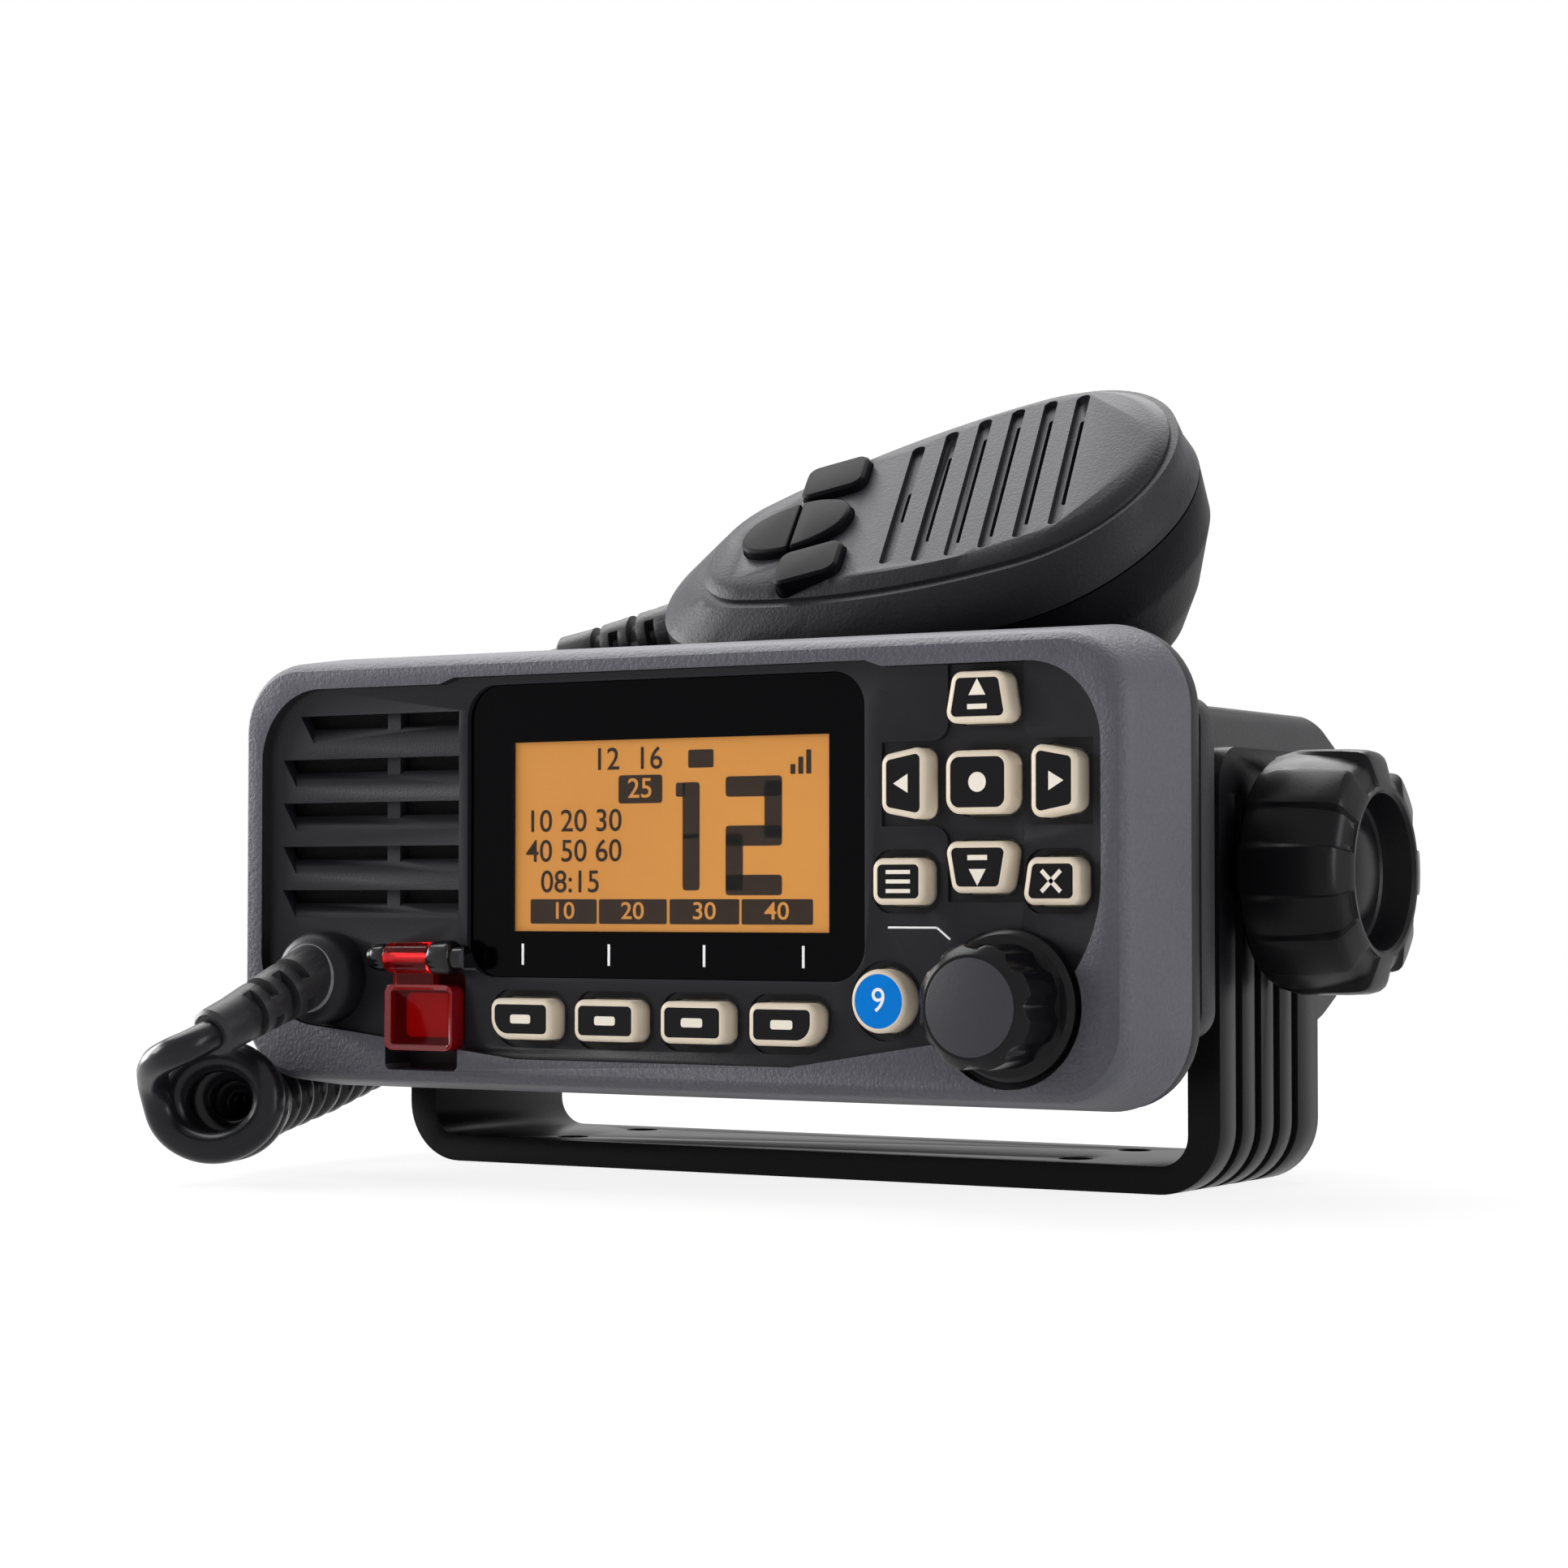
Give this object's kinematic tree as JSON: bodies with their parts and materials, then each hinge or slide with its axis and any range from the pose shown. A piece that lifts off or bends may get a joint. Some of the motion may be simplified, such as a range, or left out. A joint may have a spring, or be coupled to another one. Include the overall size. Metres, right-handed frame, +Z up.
{
  "type": "fixed-mount marine radio",
  "caption": "Black fixed-mount marine VHF radio with a front display, keys, speaker grille and rotary control, tilting in a U bracket, with a hand microphone on a curly cord.",
  "frame": {"origin": "centre of the bracket's four-hole bolt pattern, on the bracket's underside", "axes": "+Z up, square to the mounting surface; the front panel faces -Y; +X is to the user's right"},
  "size_m": [0.1808, 0.159, 0.1194],
  "materials": {
    "bracket_plastic": "fine texture",
    "knob_plastic": "satin",
    "housing_plastic": "fine texture",
    "window": "clear, dark border",
    "lcd": "amber backlight",
    "steel": "stainless",
    "rubber": "moulded",
    "board": "solder mask",
    "cover_plastic": "translucent red",
    "red_plastic": "red",
    "metal_trim": "turned",
    "key_plastic": "satin",
    "call_plastic": "blue",
    "grille_cloth": "woven",
    "speaker_cone": "paper",
    "body_metal": "black powder coat",
    "aluminium": "pressed",
    "plated_metal": "nickel plate",
    "brass": "turned",
    "mic_plastic": "fine texture",
    "cord_jacket": "satin"
  },
  "bodies": {
    "bracket": {"mounting_bracket": "bracket_plastic"},
    "left_washer": {"clamp_washer_left": "steel"},
    "left_knob": {"clamp_knob_left": "knob_plastic", "clamp_stud_left": "steel"},
    "right_washer": {"clamp_washer_right": "steel"},
    "right_knob": {"clamp_knob_right": "knob_plastic", "clamp_stud_right": "steel"},
    "radio": {"front_housing": "housing_plastic", "display_window": "window", "lcd_module": "lcd", "keypad_mat": "rubber", "front_board": "board", "distress_hinge_pin": "steel", "encoder": "metal_trim", "speaker_membrane": "grille_cloth", "loudspeaker": "speaker_cone", "front_gasket": "rubber", "chassis": "body_metal", "main_board": "board", "power_module": "aluminium", "antenna_socket": "plated_metal", "lead_grommet": "rubber", "front_screws": "steel", "clamp_inserts": "brass", "clamp_pads": "rubber", "mic_gland": "housing_plastic", "front_relief": "rubber", "cord_coil": "cord_jacket", "cord_lead": "cord_jacket", "cord_tail": "cord_jacket"},
    "cover": {"distress_cover": "cover_plastic"},
    "distress_button": {"distress_key": "red_plastic"},
    "control_shaft": {"encoder_shaft": "steel"},
    "control_knob": {"volume_knob": "knob_plastic", "volume_knob_cap": "key_plastic"},
    "microphone": {"mic_front_shell": "mic_plastic", "mic_back_shell": "mic_plastic", "mic_hanger_button": "plated_metal", "mic_board": "board", "mic_capsule": "aluminium", "mic_relief": "rubber"},
    "talk_bar": {"mic_talk_bar": "rubber"},
    "softkey_1": {"softkey_1": "key_plastic"},
    "softkey_2": {"softkey_2": "key_plastic"},
    "softkey_3": {"softkey_3": "key_plastic"},
    "softkey_4": {"softkey_4": "key_plastic"},
    "key_up": {"key_up": "key_plastic"},
    "key_left": {"key_left": "key_plastic"},
    "key_down": {"key_down": "key_plastic"},
    "key_right": {"key_right": "key_plastic"},
    "key_enter": {"key_enter": "key_plastic"},
    "key_menu": {"key_menu": "key_plastic"},
    "key_clear": {"key_clear": "key_plastic"},
    "key_call": {"key_call": "call_plastic"},
    "mic_key_down": {"mic_key_down": "key_plastic"},
    "mic_key_up": {"mic_key_up": "key_plastic"},
    "mic_key_high_low": {"mic_key_high_low": "key_plastic"},
    "mic_key_sixteen": {"mic_key_sixteen": "key_plastic"}
  },
  "joints": [
    {"name": "left_clamp_travel", "type": "slide", "parent": "bracket", "child": "left_washer", "axis": [-1, 0, 0], "range_m": [0, 0.002]},
    {"name": "left_knob_turn", "type": "hinge", "parent": "left_washer", "child": "left_knob", "pos_m": [-0.08, 0, 0.046], "axis": [-1, 0, 0], "range_deg": [0, 720]},
    {"name": "right_clamp_travel", "type": "slide", "parent": "bracket", "child": "right_washer", "axis": [1, 0, 0], "range_m": [0, 0.002]},
    {"name": "right_knob_turn", "type": "hinge", "parent": "right_washer", "child": "right_knob", "pos_m": [0.08, 0, 0.046], "axis": [1, 0, 0], "range_deg": [0, 720]},
    {"name": "radio_tilt", "type": "hinge", "parent": "bracket", "child": "radio", "pos_m": [0, 0, 0.046], "axis": [-1, 0, 0], "range_deg": [-10, 20]},
    {"name": "cover_hinge", "type": "hinge", "parent": "radio", "child": "cover", "pos_m": [-0.0422, -0.0559, 0.0334], "axis": [-1, 0, 0], "range_deg": [0, 120], "stiffness_Nm_per_rad": 0.002, "springref_deg": -34.38},
    {"name": "distress_press", "type": "slide", "parent": "radio", "child": "distress_button", "axis": [0, 1, 0], "range_m": [0, 0.0008], "stiffness_N_per_m": 500, "springref_m": -0.0006},
    {"name": "control_push", "type": "slide", "parent": "radio", "child": "control_shaft", "axis": [0, 1, 0], "range_m": [0, 0.0005], "stiffness_N_per_m": 800, "springref_m": -0.0006},
    {"name": "control_turn", "type": "hinge", "parent": "control_shaft", "child": "control_knob", "pos_m": [0.0574, -0.06, 0.0278], "axis": [0, -1, 0], "continuous": true},
    {"name": "softkey_1_press", "type": "slide", "parent": "radio", "child": "softkey_1", "axis": [0, 1, 0], "range_m": [0, 0.0006], "stiffness_N_per_m": 400, "springref_m": -0.0006},
    {"name": "softkey_2_press", "type": "slide", "parent": "radio", "child": "softkey_2", "axis": [0, 1, 0], "range_m": [0, 0.0006], "stiffness_N_per_m": 400, "springref_m": -0.0006},
    {"name": "softkey_3_press", "type": "slide", "parent": "radio", "child": "softkey_3", "axis": [0, 1, 0], "range_m": [0, 0.0006], "stiffness_N_per_m": 400, "springref_m": -0.0006},
    {"name": "softkey_4_press", "type": "slide", "parent": "radio", "child": "softkey_4", "axis": [0, 1, 0], "range_m": [0, 0.0006], "stiffness_N_per_m": 400, "springref_m": -0.0006},
    {"name": "key_up_press", "type": "slide", "parent": "radio", "child": "key_up", "axis": [0, 1, 0], "range_m": [0, 0.0006], "stiffness_N_per_m": 400, "springref_m": -0.0006},
    {"name": "key_left_press", "type": "slide", "parent": "radio", "child": "key_left", "axis": [0, 1, 0], "range_m": [0, 0.0006], "stiffness_N_per_m": 400, "springref_m": -0.0006},
    {"name": "key_down_press", "type": "slide", "parent": "radio", "child": "key_down", "axis": [0, 1, 0], "range_m": [0, 0.0006], "stiffness_N_per_m": 400, "springref_m": -0.0006},
    {"name": "key_right_press", "type": "slide", "parent": "radio", "child": "key_right", "axis": [0, 1, 0], "range_m": [0, 0.0006], "stiffness_N_per_m": 400, "springref_m": -0.0006},
    {"name": "key_enter_press", "type": "slide", "parent": "radio", "child": "key_enter", "axis": [0, 1, 0], "range_m": [0, 0.0006], "stiffness_N_per_m": 400, "springref_m": -0.0006},
    {"name": "key_menu_press", "type": "slide", "parent": "radio", "child": "key_menu", "axis": [0, 1, 0], "range_m": [0, 0.0006], "stiffness_N_per_m": 400, "springref_m": -0.0006},
    {"name": "key_clear_press", "type": "slide", "parent": "radio", "child": "key_clear", "axis": [0, 1, 0], "range_m": [0, 0.0006], "stiffness_N_per_m": 400, "springref_m": -0.0006},
    {"name": "key_call_press", "type": "slide", "parent": "radio", "child": "key_call", "axis": [0, 1, 0], "range_m": [0, 0.0006], "stiffness_N_per_m": 400, "springref_m": -0.0006},
    {"name": "microphone_lift", "type": "slide", "parent": "radio", "child": "microphone", "axis": [0, 0, 1], "range_m": [0, 0.12]},
    {"name": "mic_key_down_press", "type": "slide", "parent": "microphone", "child": "mic_key_down", "axis": [0.071, 0.659, -0.7488], "range_m": [0, 0.0005], "stiffness_N_per_m": 400, "springref_m": -0.0006},
    {"name": "mic_key_up_press", "type": "slide", "parent": "microphone", "child": "mic_key_up", "axis": [0.071, 0.659, -0.7488], "range_m": [0, 0.0005], "stiffness_N_per_m": 400, "springref_m": -0.0006},
    {"name": "mic_key_high_low_press", "type": "slide", "parent": "microphone", "child": "mic_key_high_low", "axis": [0.071, 0.659, -0.7488], "range_m": [0, 0.0005], "stiffness_N_per_m": 400, "springref_m": -0.0006},
    {"name": "mic_key_sixteen_press", "type": "slide", "parent": "microphone", "child": "mic_key_sixteen", "axis": [0.071, 0.659, -0.7488], "range_m": [0, 0.0005], "stiffness_N_per_m": 400, "springref_m": -0.0006},
    {"name": "talk_press", "type": "slide", "parent": "microphone", "child": "talk_bar", "axis": [0.2304, -0.7412, -0.6305], "range_m": [0, 0.0012], "stiffness_N_per_m": 600, "springref_m": -0.001}
  ],
  "couplings": [
    {"joint": "left_knob_turn", "follows": "left_clamp_travel", "rad_per_m": 6283.2},
    {"joint": "right_knob_turn", "follows": "right_clamp_travel", "rad_per_m": 6283.2}
  ]
}
